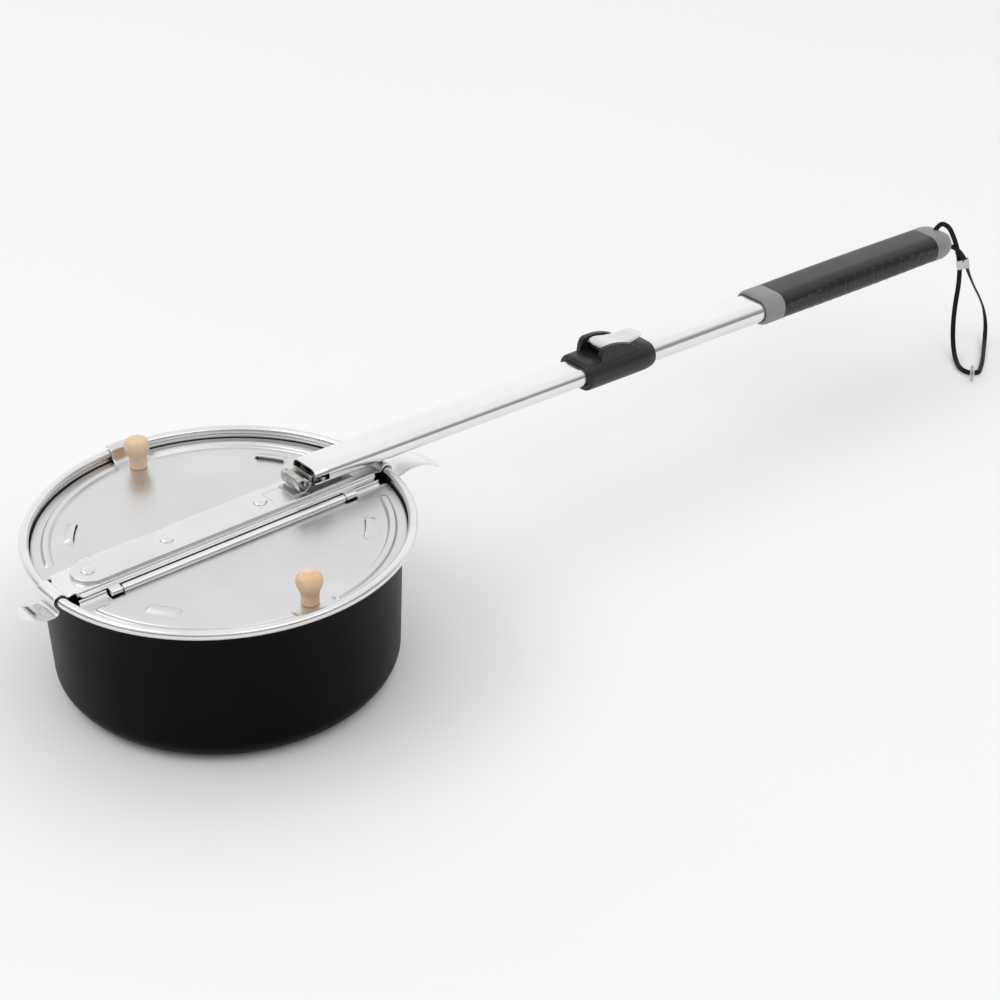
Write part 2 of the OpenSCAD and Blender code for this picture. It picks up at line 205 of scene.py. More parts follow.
def wood(name):
    m, nt, s = new_mat(name)
    v = coords(nt, (1, 1, 0.22))
    warp = noise_tex(nt, v, 90, 4, 0.6, 0.6)
    v2 = coords(nt, (1, 1, 0.16), (0.12, 0.3, 0))
    fibre = noise_tex(nt, v2, 620, 4, 0.7)
    blot = noise_tex(nt, coords(nt), 130, 3, 0.55, 1.2)
    a = two_tone(nt, remap(nt, warp, 0, 1, 0.35, 0.68), (0.86, 0.66, 0.46), (0.80, 0.52, 0.30))
    mix = node(nt, "ShaderNodeMix", data_type="RGBA")
    nt.links.new(remap(nt, blot, 0, 0.65, 0.54, 0.72), mix.inputs[0])
    nt.links.new(a, mix.inputs[6])
    mix.inputs[7].default_value = (0.80, 0.36, 0.12, 1)
    mix2 = node(nt, "ShaderNodeMix", data_type="RGBA")
    nt.links.new(remap(nt, fibre, 0.0, 0.28, 0.5, 0.75), mix2.inputs[0])
    nt.links.new(mix.outputs[2], mix2.inputs[6])
    mix2.inputs[7].default_value = (0.55, 0.33, 0.17, 1)
    nt.links.new(mix2.outputs[2], s.inputs["Base Color"])
    nt.links.new(remap(nt, fibre, 0.42, 0.6), s.inputs["Roughness"])
    add_bump(nt, s, fibre, 0.25, 0.0003)
    s.inputs["Subsurface Weight"].default_value = 0.05
    s.inputs["Subsurface Radius"].default_value = (0.002, 0.001, 0.0005)
    return m


def webbing(name):
    m, nt, s = new_mat(name)
    v = coords(nt, (1, 1, 1), (0.3, 0.2, 0.6))
    w1 = node(nt, "ShaderNodeTexWave", wave_type="BANDS", bands_direction="X")
    w1.inputs["Scale"].default_value = 420
    w1.inputs["Distortion"].default_value = 1.0
    w2 = node(nt, "ShaderNodeTexWave", wave_type="BANDS", bands_direction="Z")
    w2.inputs["Scale"].default_value = 420
    w2.inputs["Distortion"].default_value = 1.0
    nt.links.new(v, w1.inputs["Vector"])
    nt.links.new(v, w2.inputs["Vector"])
    mul = node(nt, "ShaderNodeMath", operation="MULTIPLY")
    nt.links.new(w1.outputs["Fac"], mul.inputs[0])
    nt.links.new(w2.outputs["Fac"], mul.inputs[1])
    nt.links.new(two_tone(nt, mul.outputs[0], (0.002, 0.002, 0.0022), (0.008, 0.008, 0.009)),
        s.inputs["Base Color"])
    s.inputs["Roughness"].default_value = 0.62
    s.inputs["Specular IOR Level"].default_value = 0.25
    add_bump(nt, s, mul.outputs[0], 0.6, 0.0003)
    return m


M = {
    "coat": plastic("pan_black_coat", (0.0012, 0.0012, 0.0013), (0.0026, 0.0026, 0.0028),
                    (0.34, 0.42), 900, 0.05, 9, 0.06),
    "rim": metal("rim_bright", (0.74, 0.74, 0.745), (0.82, 0.82, 0.825),
                 (0.22, 0.29), 22, (1, 1, 1), 700, 0.006),
    "lid": metal("lid_mill", (0.655, 0.655, 0.66), (0.735, 0.735, 0.74),
                 (0.27, 0.38), 16, (1, 1, 1), 1100, 0.025),
    "bar": metal("bar_mill", (0.79, 0.79, 0.795), (0.87, 0.87, 0.875),
                 (0.24, 0.33), 18, (0.05, 1, 1), 800, 0.02),
    "plate": metal("plate_mill", (0.72, 0.72, 0.725), (0.79, 0.79, 0.795),
                   (0.27, 0.37), 20, (1, 1, 1), 1100, 0.025),
    "rivet": metal("rivet_bright", (0.72, 0.72, 0.73), (0.80, 0.80, 0.81),
                   (0.20, 0.28), 120, (1, 1, 1), 1500, 0.05),
    "tube": metal("tube_satin", (0.80, 0.80, 0.805), (0.87, 0.87, 0.875),
                  (0.15, 0.21), 9, (0.02, 1, 1), 900, 0.03),
    "spring": metal("spring_steel", (0.42, 0.415, 0.40), (0.58, 0.57, 0.55),
                    (0.14, 0.22), 160, (1, 0.1, 1), 1500, 0.03),
    "steel": metal("plain_steel", (0.50, 0.50, 0.52), (0.62, 0.62, 0.64),
                   (0.28, 0.38), 90, (0.1, 1, 1), 1300, 0.06),
    "chrome": metal("lever_chrome", (0.66, 0.66, 0.67), (0.75, 0.75, 0.76),
                    (0.10, 0.15), 60, (1, 1, 1), 900, 0.02),
    "plastic": plastic("lock_plastic", (0.010, 0.010, 0.011), (0.015, 0.015, 0.016),
                       (0.38, 0.46), 2200, 0.10, 60, 0.45),
    "rubber": plastic("grip_rubber", (0.007, 0.007, 0.0075), (0.012, 0.012, 0.013),
                      (0.33, 0.41), 2600, 0.10, 50),
    "grey": plastic("grip_grey", (0.24, 0.24, 0.245), (0.29, 0.29, 0.295), (0.46, 0.54), 2400, 0.12, 70),
    "dark": plastic("inner_plastic", (0.02, 0.02, 0.021), (0.03, 0.03, 0.032), (0.5, 0.6), 1800, 0.1, 60),
    "wood": wood("knob_wood"),
    "web": webbing("strap_webbing"),
}


# ------------------------------------------------------------------ mesh helpers
def piece(name, verts, faces, mat, body, nodes=(), smooth=40, doubles=1e-6):
    """A mesh piece from millimetre points, riding a body and standing for CAD nodes."""
    me = bpy.data.meshes.new(name)
    bm = bmesh.new()
    vs = [bm.verts.new(Vector(v) * MM) for v in verts]
    for f in faces:
        ids = []
        for i in f:
            if not ids or i != ids[-1]:
                ids.append(i)
        if len(set(ids)) > 2:
            try:
                bm.faces.new([vs[i] for i in dict.fromkeys(ids)])
            except ValueError:
                pass
    bmesh.ops.remove_doubles(bm, verts=bm.verts, dist=doubles)
    bmesh.ops.delete(bm, geom=[v for v in bm.verts if not v.link_faces], context="VERTS")
    bmesh.ops.recalc_face_normals(bm, faces=bm.faces)
    for f in bm.faces:
        f.smooth = True
    bm.to_mesh(me)
    bm.free()
    me.set_sharp_from_angle(angle=math.radians(smooth))
    o = bpy.data.objects.new(name, me)
    bpy.context.scene.collection.objects.link(o)
    o.data.materials.append(M[mat])
    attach(o, body)
    if nodes:
        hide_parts(*nodes)
    return o


def grid(rows, wrap_u=False, wrap_v=False, keep=None):
    """Points and quads of a grid of rows.

    wrap_u closes each row, wrap_v joins the last row to the first.
    """
    pts = [p for r in rows for p in r]
    n, m = len(rows), len(rows[0])
    faces = []
    for i in range(n if wrap_v else n - 1):
        for j in range(m if wrap_u else m - 1):
            if keep is not None and not keep(i, j):
                continue
            a, b = i, (i + 1) % n
            c, d = j, (j + 1) % m
            faces.append([a * m + c, a * m + d, b * m + d, b * m + c])
    return pts, faces


def lathe(profile, segs=128, centre=(0, 0, 0), closed=True):
    """Turned surface of an (r, z) profile; closed joins the profile's last point to its first."""
    rows = []
    for k in range(segs):
        a = 2 * math.pi * k / segs
        rows.append([(centre[0] + r * math.cos(a), centre[1] + r * math.sin(a), centre[2] + z)
                     for r, z in profile])
    return grid(rows, wrap_u=closed, wrap_v=True)


def arc(cx, cy, r, a0, a1, n):
    return [(cx + r * math.cos(math.radians(a0 + (a1 - a0) * i / n)),
             cy + r * math.sin(math.radians(a0 + (a1 - a0) * i / n))) for i in range(n + 1)]


def merge(*parts):
    pts, faces = [], []
    for p, f in parts:
        base = len(pts)
        pts += list(p)
        faces += [[base + i for i in q] for q in f]
    return pts, faces


def solidify(o, t, offset=-1.0):
    md = o.modifiers.new("thickness", "SOLIDIFY")
    md.thickness = t * MM
    md.offset = offset
    md.use_even_offset = True


def bevel(o, w, segs=2, angle=35):
    md = o.modifiers.new("edges", "BEVEL")
    md.width = w * MM
    md.segments = segs
    md.limit_method = "ANGLE"
    md.angle_limit = math.radians(angle)
    md.harden_normals = False


def spline(points, m):
    """Catmull-Rom points, m per span, as part.scad's smooth_route."""
    out = []
    n = len(points)
    for i in range(n - 1):
        a, b, c, d = (Vector(points[max(i - 1, 0)]), Vector(points[i]), Vector(points[i + 1]),
                      Vector(points[min(i + 2, n - 1)]))
        for j in range(m):
            t = j / m
            out.append(0.5 * ((2 * b) + (c - a) * t + (2 * a - 5 * b + 4 * c - d) * t * t
                              + (3 * b - a - 3 * c + d) * t ** 3))
    out.append(Vector(points[-1]))
    return out


def smooth01(x):
    x = max(0.0, min(1.0, x))
    return x * x * (3 - 2 * x)


# Handle frame: s along the handle, y across, h up
TILT = math.radians(1.45)
MOUTH_X, RIM_Z = 63.0, 99.5
MOUTH_Z = RIM_Z + 13.2


def hp(s, y, h):
    return (MOUTH_X + s * math.cos(TILT) + h * math.sin(TILT), y, MOUTH_Z - s * math.sin(TILT)
        + h * math.cos(TILT))


def obround(w, h, r, n=12):
    """Rounded rectangle outline in (y, h), starting at the right side, anticlockwise."""
    pts = []
    for cy, ch, a0 in ((w - r, h - r, 0), (-(w - r), h - r, 90), (-(w - r), -(h - r), 180),
            (w - r, -(h - r), 270)):
        pts += arc(cy, ch, r, a0, a0 + 90, n)
    return pts


def loft_s(stations, n=12):
    """Rings (s, w, h, r) of rounded rectangles along the handle."""
    return [[hp(s, y, h) for y, h in obround(w, hh, r, n)] for s, w, hh, r in stations]


def capped(rows, first=True, last=True):
    """Grid of closed rings with a fan over each end."""
    pts, faces = grid(rows, wrap_u=True)
    m = len(rows[0])
    for on, row, base in ((first, rows[0], 0), (last, rows[-1], (len(rows) - 1) * m)):
        if on:
            c = sum((Vector(p) for p in row), Vector()) / m
            pts.append(tuple(c))
            k = len(pts) - 1
            faces += [[base + j, base + (j + 1) % m, k] for j in range(m)]
    return pts, faces


# ------------------------------------------------------------------ pan and rim
ROLL_X = 117.0  # radius of the rolled rim's centre line
RIM_SEGS = 224
led, lip = RIM_Z - 6.5, ROLL_X - 1.3
pan_prof = ([(0, 0), (60, 0)] + arc(91.5, 16, 16, -90, -2, 14) + [(109.2, 60), (110.4, led - 1.6)]
    + arc(112.0, led - 1.6, 1.6, 180, 90, 4) + [(lip - 0.9, led)]
    + arc(lip - 0.9, led + 0.9, 0.9, -90, 0, 4) + [(lip, RIM_Z + 1)]
    + [(lip - 0.8, RIM_Z + 1), (lip - 0.8, led + 1.4), (111.4, led + 1.2), (109.5, led - 0.6), (108.0, 60)]
    + arc(91.5, 16, 14.8, -2, -90, 14) + [(60, 1.2), (0, 1.2)])
pts, faces = lathe(pan_prof, RIM_SEGS, closed=False)
piece("pan_body", pts, faces, "coat", "pan", ["pan"], smooth=50)

roll = arc(0, 0, 3.0, -118, 212, 40) + arc(0, 0, 2.2, 212, -118, 30)
pts, faces = lathe([(ROLL_X + x, RIM_Z + z) for x, z in roll], RIM_SEGS)
piece("rim_roll", pts, faces, "rim", "pan", ["rim_ring"], smooth=50)

band = [(114.88, -6.4), (114.88, -1.2), (114.7, -1.2), (114.7, -6.4)]
pts, faces = lathe([(x, RIM_Z + z) for x, z in band], RIM_SEGS)
piece("rim_inner_band", pts, faces, "rim", "pan", smooth=40)

# ------------------------------------------------------------------ lid flaps
FLAP_R, FLAP_Z, HINGE_Y, HINGE_Z = 113.4, RIM_Z - 4.3, 19.0, RIM_Z - 2.6
KN_A, KN_B = -80.0, 78.5
NOTCHES = ((KN_A - 9, KN_A), (KN_B, KN_B + 9))
JOIN_Y = 27.0
LIP_R = 108.5  # the lip beyond the hinge ends here, clear of the pan's wall
BEAD_R, VENT_R, VENT_MID = 104.3, 88.0, 91.5
BEADS = ((195.3, 260.3), (275.9, 342.6))
VENTS = (215.8, 322.8)
KNOB_X, KNOB_Y = 2.5, 98.0


def relief(x, y):
    """Height of the pressed beads and vents above the flap at a point of the front flap."""
    r = math.hypot(x, y)
    ang = math.degrees(math.atan2(y, x)) % 360
    for a0, a1 in BEADS:
        t = math.radians(min(ang - a0, a1 - ang)) * BEAD_R
        if t > -3 and abs(r - BEAD_R) < 4:
            return 2.0 * smooth01((3.2 - abs(r - BEAD_R)) / 1.8) * smooth01((t + 2.4) / 3.6)
    q = r - VENT_R
    if -0.01 <= q <= 7.4:
        for a in VENTS:
            t = math.radians(abs(ang - a)) * VENT_MID
            if t < 11.6:
                return 2.2 * smooth01((11.4 - t) / 2.4) * (smooth01((7.3 - q) / 6.4) ** 0.75)
    return 0.0


def flap(tag):
    """One flap, modelled on the -Y side; the rear one is the same part turned half round."""
    s = 1 if tag == "front" else -1
    body = "flap_" + tag
    a_min = math.degrees(math.asin(JOIN_Y / FLAP_R))
    angs = [180 + a_min + (180 - 2 * a_min) * k / 300 for k in range(301)]
    angs += [math.degrees(math.atan2(-JOIN_Y, x)) % 360 for pair in NOTCHES for x in pair]
    angs = sorted(angs)
    radii = ([JOIN_Y + 3 * k for k in range(20)] + [86.5, 87.2, 87.9]
        + [VENT_R + 0.6 * k for k in range(14)] + [97.2, 98.8, 100.2] + [100.8 + 0.4 * k for k in range(19)]
        + [109.4, 111, 112.4, FLAP_R])
    rows = []
    for r in radii:
        row = []
        for a in angs:
            ca, sa = math.cos(math.radians(a)), math.sin(math.radians(a))
            rr = min(max(r, JOIN_Y / abs(sa)), FLAP_R)
            row.append((rr * ca, rr * sa, FLAP_Z + relief(rr * ca, rr * sa)))
        rows.append(row)
    slit = radii.index(87.9)

    def keep(i, j):
        mid = (angs[j] + angs[j + 1]) / 2
        return not (i == slit and any(math.radians(abs(mid - v)) * VENT_MID < 10.3 for v in VENTS))

    outer = grid(rows, keep=keep)
    x_out = math.sqrt(FLAP_R ** 2 - HINGE_Y ** 2)
    xs = sorted(JOIN_Y * math.cos(math.radians(a)) / abs(math.sin(math.radians(a))) for a in angs)
    xe = xs[-1]
    xs = ([-(xe + (x_out - xe) * k / 3) for k in (3, 2, 1)] + xs
          + [xe + (x_out - xe) * k / 3 for k in (1, 2, 3)])
    rows = []
    for y, lift in ((JOIN_Y, 0), (25.6, 0), (24, 0), (22.3, 0), (20.8, 0), (HINGE_Y, 0), (17.8, 0.6),
            (16.9, 2.0), (16.7, 3.2)):
        lim = math.sqrt((FLAP_R if lift == 0 else LIP_R) ** 2 - y * y)
        rows.append([(max(-lim, min(lim, x)), -y, FLAP_Z + lift + relief(max(-lim, min(lim, x)), -y))
            for x in xs])

    def keep_near(i, j):
        mid = (xs[j] + xs[j + 1]) / 2
        if i >= 5:
            return mid < NOTCHES[0][0] or mid > NOTCHES[1][1]
        return not (i >= 3 and any(a < mid < b for a, b in NOTCHES))

    pts, faces = merge(outer, grid(rows, keep=keep_near))
    pts = [(s * x, s * y, z) for x, y, z in pts]
    o = piece(f"flap_{tag}_sheet", pts, faces, "lid", body, ["flap_" + tag], smooth=38,
        doubles=2e-6)
    face_up(o)
    solidify(o, SHEET)
    # Pierced screen standing inside each vent
    for k, mid in enumerate(VENTS):
        rows = []
        for j in range(61):
            a = math.radians(mid - 5.4 + 10.8 * j / 60)
            r = VENT_R + 0.75 + 0.22 * math.cos(2 * math.pi * j / 6)
            rows.append([(s * r * math.cos(a), s * r * math.sin(a), FLAP_Z + z)
                for z in (-0.75, 0.1, 0.9, 1.6)])
        pts, faces = grid(rows)
        o = piece(f"vent_screen_{tag}_{k}", pts, faces, "lid", body, smooth=50)
        solidify(o, 0.2, 0.0)
    # Rolled knuckle: the sheet's edge curls round the hinge rod and ends just above the sheet
    curl = arc(0, 0, 2.5, -36, 262, 44)
    sec = curl + arc(0, 0, 1.72, 262, -36, 40)
    rows = [[(s * x, -s * (HINGE_Y + a), HINGE_Z + z) for a, z in sec] for x in (KN_A + 0.2, KN_B - 0.2)]
    pts, faces = grid(rows, wrap_u=True)
    m = len(sec)
    for base in (0, m):
        faces += [[base + k, base + k + 1, base + m - 2 - k, base + m - 1 - k] for k in range(40)]
    piece(f"flap_{tag}_knuckle", pts, faces, "bar", body, smooth=40)


def face_up(o):
    bm = bmesh.new()
    bm.from_mesh(o.data)
    if sum(f.normal.z * f.calc_area() for f in bm.faces) < 0:
        bmesh.ops.reverse_faces(bm, faces=bm.faces)
    bm.to_mesh(o.data)
    bm.free()


flap("front")
flap("rear")

# Tongue of the rear flap, over the rim
tongue = [(100, -4.28), (106.5, -4.28), (109.4, -3.9), (111.4, -2.4), (112.5, -0.2), (113.1, 2.0),
    (114.3, 3.9), (116.6, 4.7), (120.4, 4.3)]
tl = spline([(0, y, z) for y, z in tongue], 5)
rows = []
for k in range(13):
    x = -8 + 18 * k / 12
    rows.append([((x - 1) * (1 + 0.25 * smooth01((108 - p.y) / 8)) + 1, p.y, RIM_Z + p.z) for p in tl])
pts, faces = grid(rows)
o = piece("flap_rear_tongue", pts, faces, "lid", "flap_rear", smooth=50)
face_up(o)
solidify(o, SHEET)
bevel(o, 0.15, 1, 50)

# ------------------------------------------------------------------ crossbar with clips and tabs
BAR_TOP = RIM_Z + 2.0
clip = [(106.6, 2.0), (108.9, 2.0), (109.8, 1.75), (110.7, 1.4), (111.6, 1.5), (112.5, 2.4), (113.5, 3.7),
    (115.0, 4.5), (117.0, 4.75), (119.0, 4.2), (120.6, 2.9), (121.4, 1.0)]
near_tab = clip + [(121.5, -1.5), (121.5, -4.0), (121.9, -5.8), (123.2, -7.1), (126, -7.5), (130, -6.8),
    (134, -5.7), (138.5, -5.4), (143, -5.7), (147, -6.3), (150.4, -7.3), (152.6, -8.5), (156.5, -11.1),
    (160, -13.2), (163, -14.9)]
far_tab = clip + [(121.4, -0.8), (120.6, -2.8), (119.3, -4.6), (118.6, -5.9), (119.0, -7.3), (120.4, -8.2),
    (122.6, -8.5), (125.6, -8.3), (128.2, -8.0), (130.8, -6.9), (133.4, -6.1), (135.2, -6.0), (138, -6.5)]
TAB_Y0, TAB_Y1 = -12.4, 6.8
top_ys = [-12.5 + 25.0 * k / 14 for k in range(15)]


def hat_row(x):
    """Points (y, z) of the channel's outer surface: flange, wall, top, wall, flange."""
    reach = 16.2 - 2.6 * smooth01((abs(x) - 103.4) / 3.0)
    side = [(reach, 0.0), (14.3, 0.0), (13.7, 0.1), (13.35, 0.4), (13.25, 0.9), (13.2, 1.4), (12.95, 1.8)]
    pts = [(-y, z) for y, z in side] + [(y, 2.0) for y in top_ys] + [(y, z) for y, z in reversed(side)]
    return [(x, y, RIM_Z + z) for y, z in pts]


def tab_rows(sgn, path, reach):
    rows = []
    for p in spline([(a, 0, z) for a, z in path], 4):
        a, z = p.x, p.z
        t = smooth01((a - 109.2) / 2.2)
        y0, y1 = -12.5 + (TAB_Y0 + 12.5) * t, 12.5 + (TAB_Y1 - 12.5) * t
        if a > reach - 9:
            f = math.sqrt(max(0.0, 1 - ((a - reach + 9) / 9) ** 2.3))
            mid = (TAB_Y0 + TAB_Y1) / 2
            y0, y1 = mid + (y0 - mid) * max(f, 0.04), mid + (y1 - mid) * max(f, 0.04)
        rows.append([(sgn * a, y0 + (y1 - y0) * (y + 12.5) / 25, RIM_Z + z) for y in top_ys])
    return rows


middle = [hat_row(x) for x in [-106.6, -105.4, -104.2, -103] + [-100 + 4 * k for k in range(51)]
    + [103, 104.2, 105.4, 106.6]]
pts, faces = merge(grid(middle), grid(tab_rows(1, near_tab, 163)), grid(tab_rows(-1, far_tab, 138)))
o = piece("crossbar_sheet", pts, faces, "bar", "lid", ["crossbar"], smooth=45, doubles=1e-5)
face_up(o)
solidify(o, SHEET)
bevel(o, 0.12, 2, 60)

# Hinge ears that wrap the ends of the rods
for s, tag in ((1, "front"), (-1, "rear")):
    for x0, w, end in ((KN_A - 8, 7.2, "far"), (KN_B + 0.8, 7.8, "near")):
        sec = ([(15.6, -0.75), (15.6, 0.05), (17.4, 0.05)] + arc(19, -2.6, 2.55, 88, -115, 16)
               + [(17.6, -3.9), (17.0, -0.9)])
        rows = [[(s * x, -s * y, RIM_Z + z) for y, z in sec] for x in (x0, x0 + w)]
        pts, faces = grid(rows, wrap_u=True)
        m = len(sec)
        faces += [list(range(m)), list(range(m, 2 * m))]
        o = piece(f"hinge_ear_{tag}_{end}", pts, faces, "bar", "lid", smooth=35)
        bevel(o, 0.2, 2, 50)


# ------------------------------------------------------------------ riveted plate
PLATE_R, PLATE_Z, PLATE_END, PLATE_X0 = 12.6, BAR_TOP + 2.7, 92.0, -88.6
RIVET_X = (-91, -37, 29.5)


def plate_ring(off, z):
    r = PLATE_R + off
    c = r / PLATE_R
    end = PLATE_END + max(off, -2.5)
    pts = [(PLATE_X0 + r * math.cos(math.radians(a)), r * math.sin(math.radians(a)), z)
        for a in range(90, 271, 5)]
    pts += [(x, -r, z) for x in PLATE_XS]
    pts += [(end, -r + 0.8 * c, z), (end + 0.4, -r + 2.6 * c, z), (end + 0.4, r - 2.6 * c, z),
        (end, r - 0.8 * c, z)]
    return pts + [(x, r, z) for x in reversed(PLATE_XS)]


PLATE_XS = list(range(-80, 81, 10))
rings = [plate_ring(0.35, BAR_TOP + 0.03), plate_ring(0.15, BAR_TOP + 0.5), plate_ring(0.05, BAR_TOP + 1.5),
         plate_ring(-0.05, PLATE_Z - 0.55), plate_ring(-0.3, PLATE_Z - 0.16), plate_ring(-0.75, PLATE_Z),
         plate_ring(-3, PLATE_Z), plate_ring(-8, PLATE_Z), plate_ring(-PLATE_R, PLATE_Z)]
pts, faces = grid(rings, wrap_u=True)
o = piece("plate_tray", pts, faces, "plate", "lid", ["handle_plate"], smooth=42,
    doubles=1e-5)
face_up(o)
solidify(o, 0.7)

for k, x in enumerate(RIVET_X):
    dome = [(0, 1.75), (1.2, 1.68), (2.4, 1.42), (3.3, 1.05), (4.0, 0.62), (4.35, 0.25), (4.4, -0.05),
        (0, -0.05)]
    pts, faces = lathe(dome, 48, (x, 0, PLATE_Z), closed=False)
    piece(f"rivet_{k}", pts, faces, "rivet", "lid", ["plate_rivets"] if k == 0 else [],
        smooth=50)

# Lanced corner of the plate beside the third rivet: two slits with a lifted edge, drawn as thin raised
# strips in the darker plain steel; their darker tone is painted shade standing in for the dark inside the
# cuts
for name, pts2 in (("slit_shade_long", [(35.5, 6.9), (52.5, 7.2)]), ("slit_shade_short", [(35.5, 6.9), (36.0, -5.2)])):
    (xa, ya), (xb, yb) = pts2
    d = Vector((xb - xa, yb - ya, 0)).normalized()
    n = Vector((-d.y, d.x, 0))
    rows = []
    for t in range(9):
        q = Vector((xa, ya, 0)).lerp(Vector((xb, yb, 0)), t / 8)
        w = 0.28 * (1 - 0.6 * abs(t / 4 - 1) ** 3)
        rows.append([tuple(q + n * a * w / 0.28 + Vector((0, 0, PLATE_Z + z)))
                     for a, z in ((-0.28, 0.0), (-0.22, 0.09), (0, 0.13), (0.22, 0.09), (0.28, 0.0))])
    pts, faces = grid(rows)
    piece("plate_" + name, pts, faces, "steel", "lid", smooth=60)

# ------------------------------------------------------------------ knobs
knob_prof = [(0, 0.12), (4.8, 0.12), (5.3, 0.2), (5.5, 0.6), (5.5, 2.8), (5.5, 5.0), (5.7, 7.0), (6.2, 8.8),
    (6.95, 10.6), (7.65, 12.3), (7.98, 13.9), (8.02, 15.4), (7.7, 17.0), (7.0, 18.5), (5.8, 19.7),
    (4.2, 20.45), (2.4, 20.85), (0, 21)]
for s, tag in ((-1, "front"), (1, "rear")):
    fine = spline([(r, 0, z) for r, z in knob_prof], 3)
    pts, faces = lathe([(max(0, p.x), max(0.1, p.z)) for p in fine], 72, (s * KNOB_X, s * KNOB_Y, FLAP_Z),
        closed=False)
    piece(f"knob_{tag}_turned", pts, faces, "wood", f"flap_{tag}", [f"knob_{tag}"], smooth=60)

# ------------------------------------------------------------------ spring latch
folds = [(-9.0, -6.75), (-9.9, -6.0), (-10.5, -4.6), (-10.8, -2.6), (-10.8, 0.6), (-10.5, 0.95),
    (-6.8, 0.95), (-6.5, 0.6), (-6.5, -2.7), (-6.3, -3.1), (-5.3, -3.1), (-5.1, -2.8), (-5.1, -0.9),
    (-4.9, -0.5), (-3.4, -0.5), (-3.2, -0.8), (-3.2, -2.8), (-3.0, -3.1), (-1.7, -3.1), (-1.5, -2.8),
    (-1.5, 0.9), (-1.3, 1.25), (0.7, 1.25), (1.0, 0.9), (1.0, -2.8), (1.3, -3.1), (3.5, -3.1), (3.8, -2.8),
    (3.8, 2.1), (4.1, 2.4), (9.5, 2.4)]
rows = [[hp(s, y, h) for s, h in folds] for y in (-9.4, -4.7, 0, 4.7, 9.4)]
pts, faces = grid(rows)
o = piece("latch_spring", pts, faces, "spring", "latch", ["spring_latch"], smooth=30)
solidify(o, 0.6, 0.0)
bevel(o, 0.1, 1, 50)
back_wall = [[hp(s, y, h + 1.0) for y, h in obround(10.6, 3.8, 3.4)] for s in (4.3, 4.9)]
pts, faces = capped(back_wall)
piece("latch_back_wall", pts, faces, "rivet", "latch", smooth=40)
s0, s1, y0, y1, h0, h1 = 3.4, 6.0, -14.2, -9.2, -1.6, 1.0
rows = [[hp(s, y, h) for y, h in ((y0, h0), (y1, h0), (y1, h1), (y0, h1))] for s in (s0, s1)]
pts, faces = grid(rows, wrap_u=True)
faces += [[0, 1, 2, 3], [4, 5, 6, 7]]
o = piece("latch_lug", pts, faces, "spring", "latch", smooth=30)
bevel(o, 0.35, 2, 30)

# ------------------------------------------------------------------ tubes
SLOT_END = 10  # the inner tube's side is slotted for the latch up to here
OUTER_START, OUTER_END = 236, 585


def tube(name, s0, s1, w, h, r, wall, body, node_name, cut=None):
    """Flat oval tube with eased ends; cut(y, h) tells where its wall is open up to SLOT_END."""
    st = [s0, s0 + 0.3, s1 - 0.3, s1] + [s0 + (s1 - s0) * k / 24 for k in range(1, 24)]
    if cut:
        st.append(SLOT_END)
    st.sort()
    out = []
    for s in st:
        ease = 0.18 if s in (s0, s1) else 0
        out.append([hp(s, y, hh) for y, hh in obround(w - ease, h - ease, r - ease, 14)])
    inn = [[hp(s, y, hh) for y, hh in obround(w - wall, h - wall, r - wall, 14)] for s in reversed(st)]
    alls = st + st[::-1]
    sect = obround(w, h, r, 14)

    def keep(i, j):
        a, b = alls[i], alls[(i + 1) % len(alls)]
        (y, hh), (y2, h2) = sect[j], sect[(j + 1) % len(sect)]
        return not ((a + b) / 2 < SLOT_END and cut((y + y2) / 2, (hh + h2) / 2))

    pts, faces = grid(out + inn, wrap_u=True, wrap_v=True, keep=keep if cut else None)
    return piece(name, pts, faces, "tube", body, [node_name], smooth=40)


tube("inner_tube_drawn", 0, 380, 12.7, 6.2, 5.7, 1.0, "handle_inner", "inner_tube",
     cut=lambda y, h: y < -11.5 and -2.1 < h < 1.5)
tube("outer_tube_drawn", OUTER_START, OUTER_END, 13.9, 7.4, 6.9, 0.9, "handle_outer", "outer_tube")

# ------------------------------------------------------------------ lock housing
LOCK_A, LOCK_B = 222, 282
LOCK_VOXEL = 0.42  # mm; the housing is remeshed so that its edges round over


def solid_temp(name, rows):
    pts, faces = capped(rows)
    me = bpy.data.meshes.new(name)
    bm = bmesh.new()
    vs = [bm.verts.new(Vector(p) * MM) for p in pts]
    for f in faces:
        bm.faces.new([vs[i] for i in f])
    bmesh.ops.recalc_face_normals(bm, faces=bm.faces)
    bm.to_mesh(me)
    bm.free()
    o = bpy.data.objects.new(name, me)
    bpy.context.scene.collection.objects.link(o)
    return o


def prism_temp(name, prof, y0, y1):
    """Solid from an (s, h) outline between two y planes; y0 and y1 may be functions of (s, h)."""
    rows = [[hp(s, (y0(s, h) if callable(y0) else y0), h) for s, h in prof],
            [hp(s, (y1(s, h) if callable(y1) else y1), h) for s, h in prof]]
    return solid_temp(name, rows)


sleeve = solid_temp("t_sleeve", loft_s([(LOCK_A, 15.9, 9.6, 9.2), (222.3, 16.4, 10.0, 9.6),
    (224, 16.7, 10.3, 9.9), (250, 16.7, 10.3, 9.9), (274, 16.7, 10.3, 9.9), (277.5, 16.3, 9.9, 9.5),
    (280.5, 15.6, 9.2, 8.8), (LOCK_B, 14.8, 8.4, 8.0)]))
cheek = [(233.2, 7.5), (233.4, 12), (234, 15.4), (235.2, 17.8), (237.2, 18.8), (241, 18.9), (246, 18.7),
    (250, 18.2), (254, 17.3), (258, 16.0), (262, 14.2), (266, 11.6), (269, 8.4), (271, 4), (271, 0),
    (233.2, 0)]
block = prism_temp("t_block", cheek, lambda s, h: -13.0 + 0.06 * max(0, h - 8),
    lambda s, h: 13.0 - 0.06 * max(0, h - 8))
bore_a = solid_temp("t_bore_a", loft_s([(210, 12.85, 6.35, 5.85), (237, 12.85, 6.35, 5.85)]))
